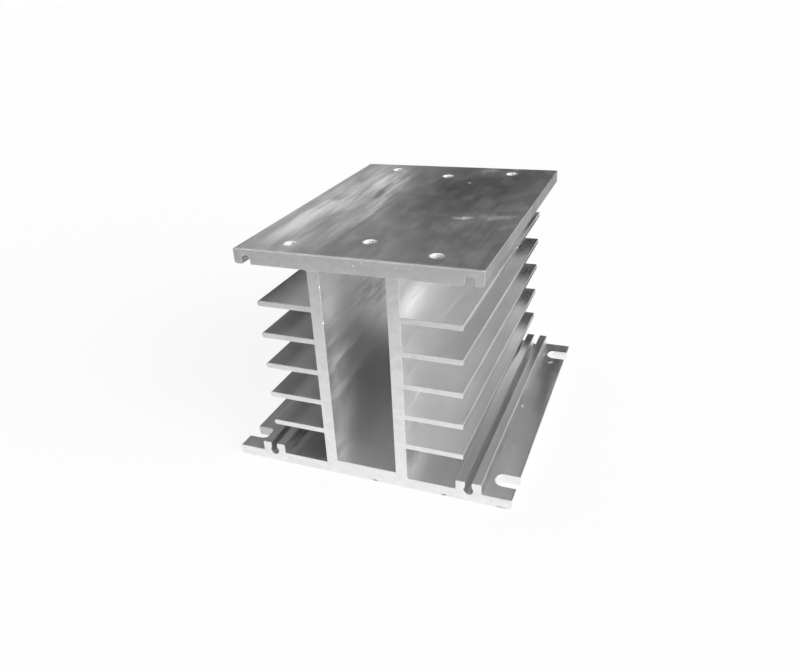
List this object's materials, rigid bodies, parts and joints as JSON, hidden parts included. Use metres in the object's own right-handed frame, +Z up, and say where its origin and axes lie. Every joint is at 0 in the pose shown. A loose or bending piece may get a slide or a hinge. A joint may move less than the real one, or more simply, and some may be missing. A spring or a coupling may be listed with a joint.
{
  "type": "solid state relay heat sink",
  "caption": "Extruded aluminium heat sink with side fins around a central channel, a drilled top plate for a solid state relay and a slotted base for screwing to a panel.",
  "frame": {"origin": "centre of the underside of the base", "axes": "+Z up from the base to the face that carries the relay, +Y along the extrusion from the end seen in the picture to the far end, +X across the section to the right as seen from the near end"},
  "size_m": [0.1, 0.11, 0.08],
  "materials": {
    "aluminium": "mill finish, brighter on the sawn ends"
  },
  "bodies": {
    "root": {"heat_sink": "aluminium"}
  },
  "joints": []
}
